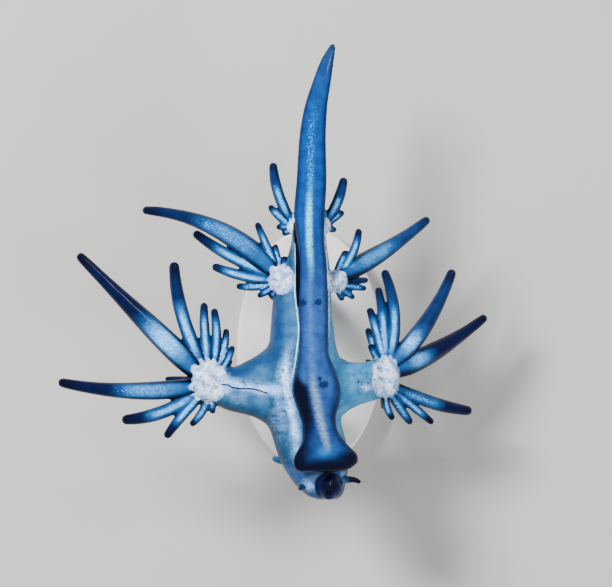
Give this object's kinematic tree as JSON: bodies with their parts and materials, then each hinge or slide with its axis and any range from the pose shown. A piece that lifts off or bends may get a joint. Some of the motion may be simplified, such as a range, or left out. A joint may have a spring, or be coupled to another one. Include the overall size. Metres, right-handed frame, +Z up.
{
  "type": "blue dragon sea slug model on a stand",
  "caption": "Life-size floating blue dragon sea slug, foot side up, with fanned finger-like cerata on stout arms, held over an oval base by slim rods.",
  "frame": {"origin": "middle of the flat underside of the stand's base, which rests on the surface", "axes": "+Z up, towards the animal's foot; +Y along its body towards the tail; +X to the right as seen from above with the tail at the top"},
  "size_m": [0.0301, 0.0319, 0.0129],
  "materials": {
    "silver_skin": "wet, pearly silver-blue skin",
    "blue_foot": "wet, royal-blue skin with a speckled silver stripe",
    "blue_cerata": "wet, blue skin, silver in the middle and navy at the tips",
    "dark_mouth": "wet, near-black navy skin",
    "stand_plastic": "satin, pale grey, plain",
    "stand_steel": "satin steel rod"
  },
  "bodies": {
    "root": {"head": "silver_skin", "body_front": "silver_skin", "body_middle": "silver_skin", "body_rear": "silver_skin", "arm_left": "silver_skin", "arm_right": "silver_skin", "oral_tentacle_left": "silver_skin", "oral_tentacle_right": "silver_skin", "rhinophore_left": "silver_skin", "rhinophore_right": "silver_skin", "foot_front": "blue_foot", "foot_middle": "blue_foot", "foot_rear": "blue_foot", "tail_base": "blue_foot", "tail_tip": "blue_foot", "cerata_front_left_front": "blue_cerata", "cerata_front_left_rear": "blue_cerata", "cerata_front_right_front": "blue_cerata", "cerata_front_right_rear": "blue_cerata", "cerata_middle_left": "blue_cerata", "cerata_middle_right": "blue_cerata", "cerata_rear_left": "blue_cerata", "cerata_rear_right": "blue_cerata", "mouth": "dark_mouth", "stand_base": "stand_plastic", "stand_rod_front": "stand_steel", "stand_rod_rear": "stand_steel"}
  },
  "joints": []
}
